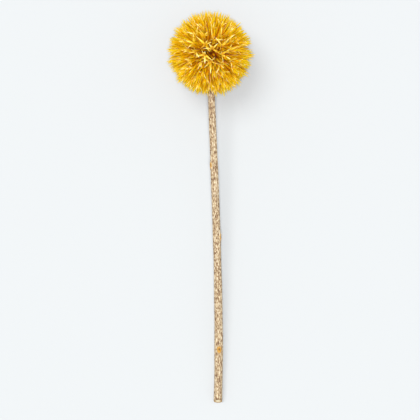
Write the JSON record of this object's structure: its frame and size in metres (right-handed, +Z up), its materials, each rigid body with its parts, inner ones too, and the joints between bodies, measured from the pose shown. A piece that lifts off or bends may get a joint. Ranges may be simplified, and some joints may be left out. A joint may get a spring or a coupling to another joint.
{
  "type": "preserved globe thistle stem",
  "caption": "Dried and dyed globe thistle: a round head of narrow pointed florets on a thin straight ribbed stem, cut at the foot and lying on its side.",
  "frame": {"origin": "on the surface that the stem lies on, below the middle of the whole piece's box", "axes": "+Z up; +Y along the stem from the cut foot to the head, seen from above; +X across it, to the right when the head points away"},
  "size_m": [0.0496, 0.2241, 0.0478],
  "materials": {
    "dyed_florets": "matt, dry and papery, dyed golden yellow with paler tips and a red-brown depth",
    "dried_stem": "matt straw beige with fine brown lengthwise streaks"
  },
  "bodies": {
    "root": {"stem": "dried_stem", "florets_01": "dyed_florets", "florets_02": "dyed_florets", "florets_03": "dyed_florets", "florets_04": "dyed_florets", "florets_05": "dyed_florets", "florets_06": "dyed_florets", "florets_07": "dyed_florets", "florets_08": "dyed_florets", "florets_09": "dyed_florets", "florets_10": "dyed_florets", "florets_11": "dyed_florets", "florets_12": "dyed_florets", "florets_13": "dyed_florets", "florets_14": "dyed_florets", "florets_15": "dyed_florets", "florets_16": "dyed_florets", "florets_17": "dyed_florets", "florets_18": "dyed_florets", "florets_19": "dyed_florets", "florets_20": "dyed_florets", "florets_21": "dyed_florets", "florets_22": "dyed_florets", "florets_23": "dyed_florets", "florets_24": "dyed_florets", "florets_25": "dyed_florets", "florets_26": "dyed_florets", "florets_27": "dyed_florets", "florets_28": "dyed_florets", "florets_29": "dyed_florets", "florets_30": "dyed_florets", "florets_31": "dyed_florets", "florets_32": "dyed_florets", "florets_33": "dyed_florets", "florets_34": "dyed_florets", "florets_35": "dyed_florets", "florets_36": "dyed_florets", "florets_37": "dyed_florets", "florets_38": "dyed_florets", "florets_39": "dyed_florets", "florets_40": "dyed_florets", "florets_41": "dyed_florets", "florets_42": "dyed_florets", "florets_43": "dyed_florets", "florets_44": "dyed_florets", "florets_45": "dyed_florets", "florets_46": "dyed_florets", "florets_47": "dyed_florets", "florets_48": "dyed_florets", "florets_49": "dyed_florets", "florets_50": "dyed_florets", "florets_51": "dyed_florets", "florets_52": "dyed_florets", "florets_53": "dyed_florets", "florets_54": "dyed_florets"}
  },
  "joints": []
}
